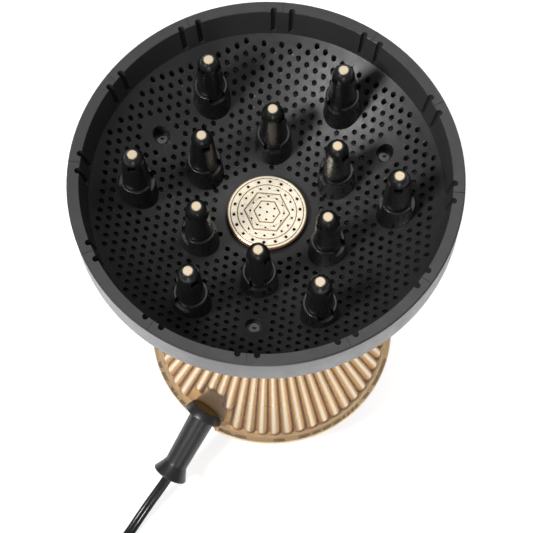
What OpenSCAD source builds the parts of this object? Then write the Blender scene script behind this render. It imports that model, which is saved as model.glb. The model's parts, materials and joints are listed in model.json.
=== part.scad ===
// Stand-up hair dryer with a bowl diffuser.
// The bowl faces up, a waist is the handle, and a fluted bell is the foot that it stands on.
// Air goes in under the bell, through fan and heater in the waist, and out through the bowl's floor.
// The origin is on the table at the middle of the foot, and +Z is up.

/* [Heights] */
// Height of the bell's widest circle above the table
cup_h = 38; // [34:0.5:44]
// Height of the fluted bell above its widest circle
bell_h = 55; // [46:0.5:66]
// Height of the waist between the bell and the bowl
neck_h = 77; // [72:0.5:92]
// Depth of the bowl's shell below the rim's top face
bowl_h = 74; // [72:0.5:89]

/* [Bowl] */
// Outer radius of the rim
rim_r = 95; // [93:0.5:112]
// Width of the rim's flat top face
rim_w = 6; // [5:0.1:7]
// How far the rim's inner wall leans in from top to bottom
rim_lean = 3; // [2:0.1:4]
// Height of the rim's inner wall
rim_wall_h = 16.4; // [15.8:0.1:17]
// Height of the thin lip that overhangs the shell
lip_h = 1.6; // [1.2:0.1:2.4]
// Height of the shell's upright band
band_h = 18.5; // [16:0.5:19]
// Wall of the moulded shells
wall = 2.2; // [1.8:0.1:2.6]
// Depth of the bowl's floor at its middle, below the rim's top face
dish_depth = 47; // [46:0.5:49]
// Radius of the sphere that the bowl's floor follows
dish_r = 135.5; // [134:0.5:140]
// Thickness of the bowl's floor
plate_t = 2; // [1.6:0.1:2.4]

/* [Air holes] */
// Width of one hexagonal air hole across its flats
hole_w = 2.5; // [2:0.1:3]
// Distance between neighbouring air holes
hole_pitch = 5.09; // [4.5:0.01:6]
// Radius inside which the floor has no air holes
holes_from = 23.5; // [22:0.5:26]
// Radius outside which the floor has no air holes
holes_to = 83.5; // [70:0.5:83.5]

/* [Fingers] */
// Height of a finger above the bowl's floor
finger_h = 42.5; // [38:0.5:50]
// Radius of the circle of three inner fingers that are in line with the screws
inner_a_r = 37.8; // [36:0.1:40]
// Radius of the circle of the three other inner fingers
inner_b_r = 36.1; // [35:0.1:39]
// Radius of the circle of outer fingers
outer_r = 63.3; // [60:0.1:65]
// Turn of each outer finger away from the sixfold lines
outer_turn = 1; // [0:0.1:2]
// Height of a finger's upper part, from the top of its base to its tip
sleeve_h = 27; // [24:0.5:28]
// Outer radius of a finger's base at the floor
base_r = 9.4; // [9:0.1:9.6]
// Outer radius of a finger's base at its top
base_top_r = 8.4; // [8.2:0.1:8.6]
// Outer radius of a finger's sleeve at its base
sleeve_r = 6.8; // [6.2:0.1:7]
// Outer radius of a finger's sleeve at its shoulder
sleeve_top_r = 5.6; // [5.2:0.1:5.8]
// Height of a sleeve's rounded shoulder
shoulder_h = 6.6; // [5:0.1:8]
// Radius of a finger's golden tip
tip_r = 2.45; // [2:0.05:2.8]
// Width of a notch in the top of a finger's base
notch_w = 8.2; // [6:0.1:9]
// Depth of that notch
notch_d = 4.8; // [3:0.1:6]

/* [Medallion] */
// Radius of the round golden cover in the middle of the bowl
medal_r = 20; // [18:0.1:21]
// Thickness of the cover at its edge
medal_t = 2.6; // [1.6:0.1:3]
// Height of the dark seat between the cover and the bowl's floor, at the cover's edge
medal_gap = 1.3; // [1:0.1:2]

/* [Waist and bell] */
// Outer radius of the waist
waist_r = 29.5; // [29.5:0.1:32]
// Radius where the waist meets the bowl
neck_top_r = 36; // [34:0.5:44]
// Radius of the bell's widest circle
equator_r = 68; // [66.5:0.5:82]
// Radius of the bell where it meets the waist
bell_top_r = 32.4; // [32:0.1:36]
// Number of flutes around the bell
flutes = 54; // [36:6:72]
// Depth of one flute at the widest circle
flute_d = 1.7; // [1:0.1:2.4]
// Wall of the clear bell
clear_wall = 2; // [1.6:0.1:2.4]
// Gap between the clear bell and the golden liner
liner_gap = 0.6; // [0.4:0.1:1]
// Outer radius of the foot on the table
foot_r = 51; // [50:0.5:58]

/* [Fan and heater] */
// Inner radius of the fan's duct
duct_r = 24.5; // [24:0.1:25]
// Gap between the fan's blades and its duct
fan_gap = 0.5; // [0.4:0.05:1]
// Number of fan blades
fan_blades = 9; // [5:1:11]
// Outer radius of the motor
motor_r = 14; // [13:0.1:14.5]
// Length of the motor's can
motor_h = 32; // [30:0.5:34]
// Radius of the motor's shaft
shaft_r = 1.6; // [1.2:0.05:2]
// Clearance all round a turning shaft
shaft_gap = 0.05; // [0.02:0.01:0.09]
// Inner radius of the heater's sleeve
heater_r = 19.6; // [18.5:0.1:19.8]
// Length of the heater's sleeve
heater_h = 58; // [56:0.5:62]

/* [Controls] */
// Angle around the waist at which the controls sit
control_angle = 60; // [0:5:90]
// Travel of the slide switch
switch_travel = 8; // [6:0.5:8]
// Travel of the cool button
button_travel = 1.5; // [1:0.1:1.6]
// Radius of the cool button
button_r = 5.5; // [5:0.1:5.6]
// Clearance around a control that moves
control_gap = 0.35; // [0.3:0.05:0.5]

/* [Cord] */
// Width of the flat cord
cord_w = 5.8; // [5.8:0.1:6.2]
// Thickness of the flat cord
cord_t = 3.6; // [3.6:0.1:3.8]
// Angle around the bell at which the cord leaves
cord_angle = 240; // [235:1:245]
// How steeply the cord guard slopes down
guard_slope = 32; // [30:1:34]
// Radius of the rounded collar that the guard comes out of
collar_r = 11; // [10:0.1:12]
// Outer radius of the guard at its collar
guard_r = 7.3; // [6.8:0.1:7.6]
// Outer radius of the guard at its flare
guard_end_r = 6.5; // [6:0.1:6.8]
// Radius of the guard's flared mouth
flare_r = 9.8; // [9:0.1:11]
// Length of the guard from its collar to its flare
guard_len = 31.8; // [28:0.2:34]
// Length of the flare
flare_len = 8.2; // [7:0.2:9]

/* [Hidden] */
fine = 96;        // segments of the large circles, which the tools read as true circles
medium = 48;      // segments of the small circles
touch = 0.02;     // gap that keeps curved faces of one body from crossing
screw_r = 1.5;    // radius of every screw's shank
seat = 0.3;       // clearance around a piece that drops into another
joint_gap = 0.8;  // shadow gap between the rim and the shell

// Heights above the table
bell_top_z = cup_h + bell_h;
bowl_z = bell_top_z + neck_h;
rim_z = bowl_z + bowl_h;
dish_z = rim_z - dish_depth;
dish_c = dish_z + dish_r;
band_z = rim_z - lip_h - band_h;
flange_t = 2.2;
flange_z = rim_z - rim_wall_h - flange_t;

// Height of the floor's upper face at radius r
function dish_at(r) = dish_c - sqrt(dish_r * dish_r - r * r);

// Bowl
shell_r = rim_r - 0.6;
shell_in_r = shell_r - wall;
rim_in_r = rim_r - rim_w;
rim_foot_r = rim_in_r - rim_lean;
spigot_r = shell_in_r - seat;
screw_ring_r = 64;
screw_angles = [30, 150, 270];
screw_head_r = 2.6;
recess_r = 4.3;
recess_d = 6.4;
head_d = 4.4; // depth of a screw head's top below the floor
boss_h = recess_d + 2.6;
// The shell's underside is one sphere from the foot of its band to the top of the waist
under_c = (shell_r * shell_r + band_z * band_z - neck_top_r * neck_top_r - bowl_z * bowl_z)
    / (2 * (band_z - bowl_z));
under_r = norm([shell_r, band_z - under_c]);
plate_edge_r = min(spigot_r, sqrt(pow(under_r - wall, 2) - pow(flange_z - under_c, 2)) - seat);

// Fingers: six inner ones, then six outer ones
function finger_angle(i) = i < 6 ? 30 + 60 * i
    : 120 * floor((i - 6) / 2) + (i % 2 == 0 ? outer_turn : 60 - outer_turn);
function finger_radius(i) = i >= 6 ? outer_r : i % 2 == 0 ? inner_a_r : inner_b_r;
function finger_xy(i) = finger_radius(i) * [cos(finger_angle(i)), sin(finger_angle(i))];
function finger_foot(i) = dish_at(finger_radius(i));
function finger_tip(i) = finger_foot(i) + finger_h;
function finger_step(i) = finger_tip(i) - sleeve_h;
// Turn of each sleeve's three windows, as the sleeves were pushed in
window_turn = [80, 90, 60, 105, 86, 100, 30, 100, 106, 30, 71, 90];
base_bore_r = sleeve_r + 0.15;
sleeve_in_r = sleeve_r - 1.3;
sleeve_top_in_r = sleeve_top_r - 1.3;
sleeve_tail = 9;
pin_r = 1.7;
window_w = 4;
window_h = 4.6;
finger_margin = 1.2;
screw_margin = 7.4;

// Air holes of the bowl's floor
row_step = hole_pitch * cos(30);
rows = ceil(holes_to / row_step);
cols = ceil(holes_to / hole_pitch);
function off_fingers(p) = min([for (i = [0:11]) norm(p - finger_xy(i))]) > base_r + finger_margin;
function to_screw(p) = min([for (a = screw_angles) norm(p - screw_ring_r * [cos(a), sin(a)])]);
hole_spots = [for (i = [-rows:rows], j = [-cols:cols])
    let (p = [i * row_step, (j + (i % 2 == 0 ? 0 : 0.5)) * hole_pitch], r = norm(p))
    if (r > holes_from && r < holes_to && off_fingers(p) && to_screw(p) > screw_margin) p];

// Medallion
medal_foot_z = dish_at(medal_r) + medal_gap;
dot_rings = [[4.1, 6, 0.5], [8.4, 12, 0.5], [12.7, 18, 0.55], [16.4, 18, 0.75]];
ring_lines = [14.6, 18.1];
hexagons = [5.6, 9.8]; // half the width across flats of two engraved hexagons

// Waist
neck_in_r = waist_r - wall;
low_bend = 16;  // height over which the waist's foot widens
top_bend = 18;  // height over which the waist's top widens
panel_face = waist_r + 1.8;
panel_w = 17;
panel_z = bell_top_z + low_bend;
panel_h = neck_h - low_bend - top_bend - 1;
switch_z = panel_z + 11;
button_z = panel_z + panel_h - panel_w / 2 - 0.5;
stem_w = 4;
stem_h = 5;

// Bell
function bell_r(z) = equator_r - (equator_r - bell_top_r) * (z - cup_h) / bell_h;
bell_tilt = atan(bell_h / (equator_r - bell_top_r));
clear_run = clear_wall / sin(bell_tilt);
liner_run = liner_gap / sin(bell_tilt);
edge_h = 2.4;
liner_z0 = cup_h - 1.6;
liner_z1 = bell_top_z - 7;
liner_t = 1.4;
function liner_peak(z) = bell_r(z) - clear_run - liner_run - 0.6;
flute_steps = 8;

// Cup and foot
trim_h = 9;
trim_z = cup_h - edge_h - trim_h;
foot_z = 3;
floor_t = 2.2;
grille_r = 41.5;
grille_t = 2.4;
post_ring_r = foot_r - 5;
post_r = 3.4;
post_angles = [15, 105, 195, 285];
foot_pad_r = 2.6;
cup_top_r = equator_r - 5.4;
baffle_t = 2.2;
baffle_z = trim_z + 4;
intake_slots = 40;

// Fan and motor
duct_wall = 1.5;
duct_z = baffle_z;
fan_z = duct_z + 6;
fan_h = 13;
hub_r = 8.5;
motor_z = fan_z + fan_h + 4;
cap_h = 4;
holder_gap = 0.15;
holder_t = 1.4;
vanes = 7;
duct_top_z = motor_z + motor_h + cap_h + 6;
sleeve_z = duct_top_z + 10;
heater_t = 0.8;
coil_r = 17;
coil_wire_r = 0.6;
coil_turns = 9;
mica_t = 1;
mica_z = sleeve_z + 3;
mica_h = heater_h - 8;

// Cord guard
collar_set = -1.5; // distance from the collar's centre out to its flat face
function guard_dir() = [cos(guard_slope) * cos(cord_angle), cos(guard_slope) * sin(cord_angle),
    -sin(guard_slope)];
face_along = equator_r - 2.6;
face_z = cup_h + 2.4;
mouth_along = face_along + (guard_len + flare_len) * cos(guard_slope);
mouth_z = face_z - (guard_len + flare_len) * sin(guard_slope);
bore_r = 3.5;
cord_inset = 8;

// The cord's route as [along, aside, height], measured from the axis along the cord's direction.
// The lead runs from inside the guard to the coil, and the tail from the coil to the plug.
start_along = mouth_along - cord_inset * cos(guard_slope);
start_z = mouth_z + cord_inset * sin(guard_slope);
lead_points = [
    [start_along, 0, start_z], [mouth_along, 0, mouth_z], [104, -0.3, 16.2], [109, -0.8, 13.2],
    [115, -1.4, 10], [121, -1.8, 7.2], [127, -2, 5], [133, -2, 3.4], [140, -2, 2.4],
    [148, -2, 1.9], [156, -2, 1.8], [163, -2, 1.8], [170, -2, 1.8]];
coil_at = [170, 36];
coil_mid_r = 32;
coil_layers = 3;
coil_columns = 3;
coil_in_r = coil_mid_r - coil_columns * cord_w / 2;
coil_out_r = coil_mid_r + coil_columns * cord_w / 2;
coil_height = coil_layers * cord_t;
tie_angle = 30;
// The tail is given in the part's own frame, from the middle of the coil, heading along +X
tail_points = [
    [-6, -31.5, 11.9], [2, -32, 12.6], [12, -32, 12.7], [22, -32, 12.8], [32, -32, 13],
    [42, -32, 13], [50, -32, 13]];
plug_at = [50, -32, 13];
plug_len = 36;
plug_w = 35;
plug_t = 26;
relief_len = 24;
pin_len = 19;
pin_gap = 19;
plug_pin_r = 2.4;

function sleeve_name(i) = str("finger_sleeve_", i < 9 ? "0" : "", i + 1);

// ---------------------------------------------------------------- shared shapes

// A tube or disc between two heights
module tube(z0, z1, r_out, r_in = 0) {
    translate([0, 0, z0]) difference() {
        cylinder(h = z1 - z0, r = r_out, $fn = fine);
        if (r_in > 0) translate([0, 0, -1]) cylinder(h = z1 - z0 + 2, r = r_in, $fn = fine);
    }
}

// Children copied to each angle in a list
module at_angles(angles) {
    for (a = angles) rotate([0, 0, a]) children();
}

// Children moved to a point on the control side, where +X is outward
module on_controls() {
    rotate([0, 0, control_angle]) children();
}

// Children turned so that +Z runs down the cord guard's axis from the middle of its face
module on_guard() {
    rotate([0, 0, cord_angle]) translate([face_along, 0, face_z])
        rotate([0, 90 + guard_slope, 0]) children();
}

// The space that the collar takes in the shells around it
module collar_space(gap) {
    on_guard() translate([0, 0, -collar_set]) sphere(r = collar_r + gap, $fn = fine);
}

// A solid swept along points, flat side down: w wide and t thick, with eight sides
module flat_sweep(points, w, t) {
    n = len(points);
    sides = 8;
    function ahead(i) = let (d = points[min(i + 1, n - 1)] - points[max(i - 1, 0)]) d / norm(d);
    function across(i) = let (c = cross([0, 0, 1], ahead(i))) c / norm(c);
    function up(i) = cross(ahead(i), across(i));
    corners = [for (i = [0:n - 1], k = [0:sides - 1]) let (a = 360 * (k + 0.5) / sides)
        points[i] + across(i) * (w / 2) * cos(a) / cos(180 / sides)
            + up(i) * (t / 2) * sin(a) / cos(180 / sides)];
    polyhedron(points = corners, faces = concat(
        [[for (k = [0:sides - 1]) k]],
        [for (i = [0:n - 2], k = [0:sides - 1]) let (a = i * sides, b = (k + 1) % sides)
            [a + k, a + sides + k, a + sides + b, a + b]],
        [[for (k = [sides - 1:-1:0]) (n - 1) * sides + k]]), convexity = 8);
}

// A cross-head screw with its head's top at the origin and its shank pointing down
module screw(head_r, head_h, shank_r, length, sides) {
    difference() {
        union() {
            translate([0, 0, -head_h]) cylinder(h = head_h, r = head_r, $fn = medium);
            translate([0, 0, -length]) cylinder(h = length - head_h / 2, r = shank_r, $fn = medium);
        }
        translate([0, 0, -head_h * 0.6]) cylinder(h = head_h, r = head_r * 0.5, $fn = sides);
    }
}

// ---------------------------------------------------------------- bowl

// One groove in the rim's inner wall, leaning with the wall
module rim_groove() {
    groove_r = 1.5;
    lean = atan(rim_lean / rim_wall_h);
    translate([rim_in_r + 1.1, 0, rim_z + 1]) rotate([0, lean, 0]) translate([0, 0, -rim_wall_h]) {
        cylinder(h = rim_wall_h + 3, r = groove_r, $fn = medium);
        translate([-4, -groove_r, 0]) cube([4, 2 * groove_r, rim_wall_h + 3]);
    }
}

module rim_ring() {
    foot_z0 = flange_z + flange_t;
    soften = 0.6;
    line_w = 0.4;
    line_d = 0.35;
    color([0.13, 0.13, 0.14]) difference() {
        rotate_extrude($fn = fine) polygon([
            [rim_in_r + 0.3, rim_z], [rim_r - soften, rim_z], [rim_r, rim_z - soften],
            [rim_r, rim_z - lip_h], [spigot_r, rim_z - lip_h], [spigot_r, foot_z0],
            [rim_foot_r, foot_z0], [rim_in_r, rim_z - 0.3]]);
        for (a = [0:30:330], side = [-1, 1])
            rotate([0, 0, a + side * asin(4.5 / rim_in_r)]) rim_groove();
        for (a = [0:30:330]) rotate([0, 0, a]) translate([rim_in_r - 1, -line_w / 2, rim_z - line_d])
            cube([rim_w + 2, line_w, 1]);
    }
}

module diffuser_plate() {
    color([0.2, 0.2, 0.21]) difference() {
        union() {
            intersection() {
                difference() {
                    translate([0, 0, dish_c]) sphere(r = dish_r + plate_t, $fn = fine);
                    translate([0, 0, dish_c]) sphere(r = dish_r, $fn = fine);
                }
                translate([0, 0, dish_z - 5]) cylinder(h = 60, r = rim_foot_r - touch, $fn = fine);
            }
            tube(flange_z, flange_z + flange_t, plate_edge_r, rim_foot_r - 1);
            at_angles(screw_angles) translate([screw_ring_r, 0, dish_at(screw_ring_r) - boss_h])
                cylinder(h = boss_h, r = recess_r + 1.5, $fn = medium);
        }
        for (p = hole_spots) translate([p[0], p[1], dish_z - 10])
            rotate([0, 0, 30]) cylinder(h = 60, r = hole_w / 2 / cos(30), $fn = 6);
        for (i = [0:11]) translate([finger_xy(i)[0], finger_xy(i)[1], dish_z - 10])
            cylinder(h = 60, r = base_bore_r, $fn = medium);
        at_angles(screw_angles) translate([screw_ring_r, 0, 0]) {
            translate([0, 0, dish_at(screw_ring_r) - recess_d])
                cylinder(h = 20, r = recess_r, $fn = medium);
            translate([0, 0, dish_z - 10]) cylinder(h = 60, r = screw_r + 0.2, $fn = medium);
        }
        translate([0, 0, dish_c]) sphere(r = dish_r, $fn = fine);
    }
}

module medallion() {
    top_z = medal_foot_z + medal_t;
    ridge = 0.25;
    color([0.86, 0.72, 0.5]) difference() {
        rotate_extrude($fn = fine) polygon([[0, medal_foot_z], [medal_r - 0.8, medal_foot_z],
            [medal_r, medal_foot_z + 0.8], [medal_r, top_z - 0.9], [medal_r - 0.3, top_z - 0.3],
            [medal_r - 0.9, top_z], [0, top_z]]);
        translate([0, 0, medal_foot_z - 1]) cylinder(h = 12, r = 0.5, $fn = medium);
        for (ring = dot_rings, k = [0:ring[1] - 1]) rotate([0, 0, 90 + 360 * k / ring[1]])
            translate([ring[0], 0, medal_foot_z - 1]) cylinder(h = 12, r = ring[2], $fn = 24);
        for (r = ring_lines) tube(top_z - ridge, top_z + 4, r + 0.2, r - 0.2);
        for (r = hexagons) translate([0, 0, top_z - ridge]) difference() {
            cylinder(h = 4, r = (r + 0.25) / cos(30), $fn = 6);
            translate([0, 0, -1]) cylinder(h = 6, r = (r - 0.25) / cos(30), $fn = 6);
        }
    }
}

module medallion_seat() {
    out_r = medal_r - 1;
    in_r = medal_r - 4;
    color([0.05, 0.05, 0.05]) rotate_extrude($fn = fine) polygon([[in_r, dish_at(in_r) + touch],
        [out_r, dish_at(out_r) + touch], [out_r, medal_foot_z], [in_r, medal_foot_z]]);
}

// The hollow black base of one finger, with a notch on each side along the bowl's radius.
// Its foot is cut along the plane that touches the bowl's floor there.
module finger_base(i) {
    step_z = finger_step(i);
    drop = 6;
    foot_z0 = finger_foot(i) - drop;
    spread = (base_r - base_top_r) / (step_z - finger_foot(i));
    tilt = asin(finger_radius(i) / dish_r);
    foot_reach = (base_r + 0.6) / cos(tilt);
    lift = foot_reach * foot_reach / (2 * dish_r) + touch;
    translate([finger_xy(i)[0], finger_xy(i)[1], 0]) rotate([0, 0, finger_angle(i)]) difference() {
        union() {
            translate([0, 0, foot_z0]) cylinder(h = step_z - 0.5 - foot_z0,
                r1 = base_r + spread * drop, r2 = base_top_r + spread * 0.5, $fn = medium);
            translate([0, 0, step_z - 0.5])
                cylinder(h = 0.5, r1 = base_top_r + spread * 0.5, r2 = base_top_r - 0.4, $fn = medium);
        }
        translate([0, 0, foot_z0 - 1]) cylinder(h = step_z - foot_z0 + 2, r = base_bore_r,
            $fn = medium);
        translate([-base_r - 5, -notch_w / 2, step_z - notch_d])
            cube([2 * base_r + 10, notch_w, notch_d + 1]);
        translate([0, 0, finger_foot(i)]) rotate([0, -tilt, 0]) translate([-30, -30, lift - 60])
            cube([60, 60, 60]);
    }
}

module finger_bases(first, last) {
    color([0.04, 0.04, 0.045]) for (i = [first:last]) finger_base(i);
}

// The upper part of a finger: a tube with a rounded shoulder and three windows
module finger_sleeve(i) {
    tip = finger_tip(i);
    tail_z = finger_step(i) - sleeve_tail;
    shoulder_z = tip - shoulder_h;
    // The shoulder is part of an ellipse that ends at the tip's edge
    end_a = acos((tip_r + 0.35) / sleeve_top_r);
    rise = (shoulder_h - 0.4) / sin(end_a);
    arc = [for (k = [0:6]) let (a = end_a * k / 6)
        [sleeve_top_r * cos(a), shoulder_z + rise * sin(a)]];
    color([0.035, 0.035, 0.04]) translate([finger_xy(i)[0], finger_xy(i)[1], 0]) difference() {
        rotate_extrude($fn = medium) polygon(concat([[sleeve_in_r, tail_z], [sleeve_r, tail_z],
            [sleeve_r, tail_z + sleeve_tail], [sleeve_top_r, shoulder_z]],
            [for (k = [1:6]) arc[k]], [[tip_r + touch, tip - 0.4], [tip_r + touch, tip - 2],
            [sleeve_top_in_r, shoulder_z - 1], [sleeve_in_r, tail_z + sleeve_tail]]));
        for (k = [0:2]) rotate([0, 0, window_turn[i] + 120 * k])
            translate([tip_r + 1.3, -window_w / 2, shoulder_z - window_h * 0.5])
                cube([6, window_w, window_h]);
    }
}

// The golden pins whose flat ends are the tips of the fingers
module finger_tips() {
    color([0.93, 0.83, 0.64]) for (i = [0:11]) {
        tip = finger_tip(i);
        tail_z = finger_step(i) - sleeve_tail;
        translate([finger_xy(i)[0], finger_xy(i)[1], 0]) rotate_extrude($fn = medium) polygon([
            [0, tail_z], [sleeve_in_r - touch, tail_z], [sleeve_in_r - touch, tail_z + 1.5],
            [pin_r, tail_z + 1.5], [pin_r, tip - 3.2], [tip_r, tip - 2.2], [tip_r, tip - 0.3],
            [tip_r - 0.3, tip], [0, tip]]);
    }
}

module plate_screws() {
    color([0.1, 0.1, 0.1]) at_angles(screw_angles)
        translate([screw_ring_r, 0, dish_at(screw_ring_r) - head_d])
            screw(screw_head_r, recess_d - head_d, screw_r, 13, 3);
}

module bowl_shell() {
    lip_top = rim_z - lip_h - joint_gap;
    boss_top = dish_at(screw_ring_r) - boss_h;
    color([0.15, 0.15, 0.16]) difference() {
        union() {
            rotate_extrude($fn = fine) difference() {
                union() {
                    translate([0, band_z]) square([shell_r, lip_top - band_z]);
                    intersection() {
                        translate([0, under_c]) circle(r = under_r, $fn = fine);
                        translate([0, bowl_z]) square([shell_r, band_z - bowl_z]);
                    }
                }
                translate([0, band_z - 0.01]) square([shell_in_r, 40]);
                intersection() {
                    translate([0, under_c]) circle(r = under_r - wall, $fn = fine);
                    translate([0, bowl_z + wall]) square([shell_r, band_z - bowl_z - wall]);
                }
                translate([-1, bowl_z - 1]) square([neck_in_r + 1, 60]);
            }
            tube(flange_z - 3, flange_z, shell_in_r + 0.5, rim_foot_r + 1);
            at_angles(screw_angles) translate([screw_ring_r, 0, 0]) intersection() {
                translate([0, 0, bowl_z]) cylinder(h = boss_top - bowl_z, r = 4.2, $fn = medium);
                translate([-screw_ring_r, 0, under_c]) sphere(r = under_r - wall / 2, $fn = fine);
            }
        }
        at_angles(screw_angles) translate([screw_ring_r, 0, boss_top - 11])
            cylinder(h = 20, r = screw_r, $fn = medium);
        at_angles(screw_angles) translate([neck_top_r - 4.2, 0, bowl_z - 1])
            cylinder(h = 10, r = screw_r + 0.2, $fn = medium);
    }
}

// ---------------------------------------------------------------- waist and controls

module neck_shell() {
    flare = neck_top_r - waist_r;
    foot = bell_top_r + 1 - waist_r;
    curve = concat(
        [for (k = [0:8]) let (t = k / 8) [waist_r + foot * pow(1 - t, 2), bell_top_z + low_bend * t]],
        [for (k = [0:8]) let (t = k / 8) [waist_r + flare * pow(t, 2),
            bowl_z - top_bend * (1 - t)]]);
    color([0.11, 0.11, 0.12]) difference() {
        rotate_extrude($fn = fine) polygon(concat(curve, [[neck_in_r, bowl_z],
            [neck_in_r, bell_top_z]]));
        on_controls() {
            translate([0, -stem_w / 2 - control_gap, switch_z - stem_h / 2 - control_gap])
                cube([60, stem_w + 2 * control_gap, stem_h + switch_travel + 2 * control_gap]);
            translate([0, 0, button_z]) rotate([0, 90, 0])
                cylinder(h = 60, r = button_r + control_gap, $fn = medium);
        }
        at_angles(screw_angles) translate([neck_top_r - 4.2, 0, bowl_z - 8])
            cylinder(h = 10, r = screw_r, $fn = medium);
    }
}

module neck_screws() {
    color([0.6, 0.6, 0.62]) at_angles(screw_angles)
        translate([neck_top_r - 4.2, 0, bowl_z + wall + 1.6]) screw(2.6, 1.6, screw_r, 10, 6);
}

module control_panel() {
    depth = panel_face - waist_r + 4;
    corner = panel_w / 2;
    color([0.06, 0.06, 0.065]) on_controls() difference() {
        intersection() {
            translate([panel_face - depth, 0, 0]) rotate([90, 0, 90]) linear_extrude(height = depth)
                union() {
                    translate([-corner, panel_z + corner]) square([panel_w, panel_h - panel_w]);
                    for (z = [panel_z + corner, panel_z + panel_h - corner])
                        translate([0, z]) circle(r = corner, $fn = medium);
                }
            translate([0, 0, panel_z - 1]) cylinder(h = panel_h + 2, r = panel_face + 0.6, $fn = fine);
        }
        translate([0, 0, panel_z - 2]) cylinder(h = panel_h + 4, r = waist_r + touch, $fn = fine);
        translate([0, -stem_w / 2 - control_gap, switch_z - stem_h / 2 - control_gap])
            cube([60, stem_w + 2 * control_gap, stem_h + switch_travel + 2 * control_gap]);
        translate([0, 0, button_z]) rotate([0, 90, 0])
            cylinder(h = 60, r = button_r + control_gap, $fn = medium);
    }
}

block_in = heater_r + heater_t + 0.5;
block_out = neck_in_r - 1.2;
block_w = 13;
channel = 3;

// The part of the slide switch that the thumb moves
module slide_knob() {
    knob_w = 10;
    knob_h = 11;
    knob_t = 2.8;
    ribs = 4;
    base_x = panel_face + control_gap;
    color([0.62, 0.47, 0.29]) on_controls() translate([0, 0, switch_z]) {
        difference() {
            translate([base_x, -knob_w / 2, -knob_h / 2]) cube([knob_t, knob_w, knob_h]);
            for (k = [0:ribs]) translate([base_x + knob_t - 0.7, -knob_w / 2 - 1,
                -knob_h / 2 + 1.3 + k * 1.9]) cube([2, knob_w + 2, 0.8]);
        }
        translate([block_out - channel + control_gap, -stem_w / 2, -stem_h / 2])
            cube([base_x - block_out + channel, stem_w, stem_h]);
    }
}

// The cool button, hollow for its spring, with a flange that keeps it in
module cool_button() {
    flange_r = button_r + control_gap + 0.75;
    flange_x = sqrt(neck_in_r * neck_in_r - flange_r * flange_r) - 0.3;
    front = panel_face + 2;
    color([0.62, 0.47, 0.29]) on_controls() translate([0, 0, button_z]) rotate([0, 90, 0])
        rotate_extrude($fn = medium) polygon([[3.8, flange_x - 1.2], [flange_r, flange_x - 1.2],
            [flange_r, flange_x], [button_r, flange_x], [button_r, front - 0.8],
            [button_r - 0.8, front], [0, front], [0, front - 2], [3.8, front - 2]]);
}

// The button's coil spring, which moves with the button into a well in the switch block
module button_spring() {
    turns = 5;
    steps = 12;
    sides = 6;
    mean_r = 3;
    wire_r = 0.3;
    from_x = block_in + 2.0;
    to_x = panel_face - 0.4;
    n = turns * steps;
    function ring_at(i) = let (a = 360 * i / steps)
        [mean_r * cos(a), mean_r * sin(a), from_x + (to_x - from_x) * i / n];
    function out_at(i) = let (a = 360 * i / steps) [cos(a), sin(a), 0];
    corners = [for (i = [0:n], k = [0:sides - 1]) let (b = 360 * k / sides)
        ring_at(i) + wire_r * (cos(b) * out_at(i) + sin(b) * [0, 0, 1])];
    color([0.7, 0.7, 0.72]) on_controls() translate([0, 0, button_z]) rotate([0, 90, 0])
        polyhedron(points = corners, faces = concat(
            [[for (k = [sides - 1:-1:0]) k]],
            [for (i = [0:n - 1], k = [0:sides - 1]) let (a = i * sides, b = (k + 1) % sides)
                [a + k, a + b, a + sides + b, a + sides + k]],
            [[for (k = [0:sides - 1]) n * sides + k]]), convexity = 8);
}

// The switch body, with a channel for the slide's stem and a well for the button's spring
module switch_block() {
    low = switch_z - 8;
    high = button_z + 8;
    ledge = switch_z + switch_travel + 6;
    seat_x = block_in + 2.2;
    color([0.8, 0.8, 0.76]) on_controls() difference() {
        translate([block_in, -block_w / 2, low]) cube([block_out - block_in, block_w, high - low]);
        translate([seat_x, -block_w, ledge]) cube([20, 2 * block_w, 60]);
        translate([block_out - channel, -stem_w / 2 - control_gap,
            switch_z - stem_h / 2 - control_gap])
            cube([10, stem_w + 2 * control_gap, stem_h + switch_travel + 2 * control_gap]);
        translate([seat_x - 1.9, 0, button_z]) rotate([0, 90, 0])
            cylinder(h = 10, r = 3.6, $fn = medium);
    }
}

// ---------------------------------------------------------------- bell and foot

module clear_bell() {
    low_z = cup_h - edge_h;
    color([0.95, 0.88, 0.8, 0.4]) difference() {
        rotate_extrude($fn = fine) polygon([[equator_r, low_z], [equator_r, cup_h],
            [bell_r(bell_top_z), bell_top_z], [bell_r(bell_top_z) - clear_run, bell_top_z],
            [equator_r - clear_run, cup_h], [equator_r - clear_run, low_z]]);
        collar_space(seat);
    }
}

// Radius of the liner's fluted face: round flutes that meet in sharp valleys
function flute_at(a, z) = liner_peak(z) - flute_d * (liner_peak(z) / liner_peak(cup_h))
    * (1 - sin(180 * (a * flutes / 360 - floor(a * flutes / 360))));

module gold_liner() {
    n = flutes * flute_steps;
    heights = [liner_z0, liner_z1];
    inner = liner_t / sin(bell_tilt) + flute_d;
    function outer_ring(z) = [for (k = [0:n - 1]) let (a = 360 * k / n)
        [flute_at(a, z) * cos(a), flute_at(a, z) * sin(a), z]];
    function inner_ring(z) = [for (k = [0:n - 1]) let (a = 360 * k / n, r = liner_peak(z) - inner)
        [r * cos(a), r * sin(a), z]];
    points = concat(outer_ring(heights[0]), outer_ring(heights[1]), inner_ring(heights[1]),
        inner_ring(heights[0]));
    color([0.83, 0.62, 0.33]) difference() {
        polyhedron(points = points, faces = [for (band = [0:3], k = [0:n - 1])
            let (a = band * n, b = ((band + 1) % 4) * n, m = (k + 1) % n)
            [a + k, b + k, b + m, a + m]], convexity = 6);
        notch = collar_r + seat;
        rotate([0, 0, cord_angle]) translate([equator_r / 2, -notch, liner_z0 - 1])
            cube([equator_r, 2 * notch, face_z + notch - liner_z0 + 1]);
    }
}

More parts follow.
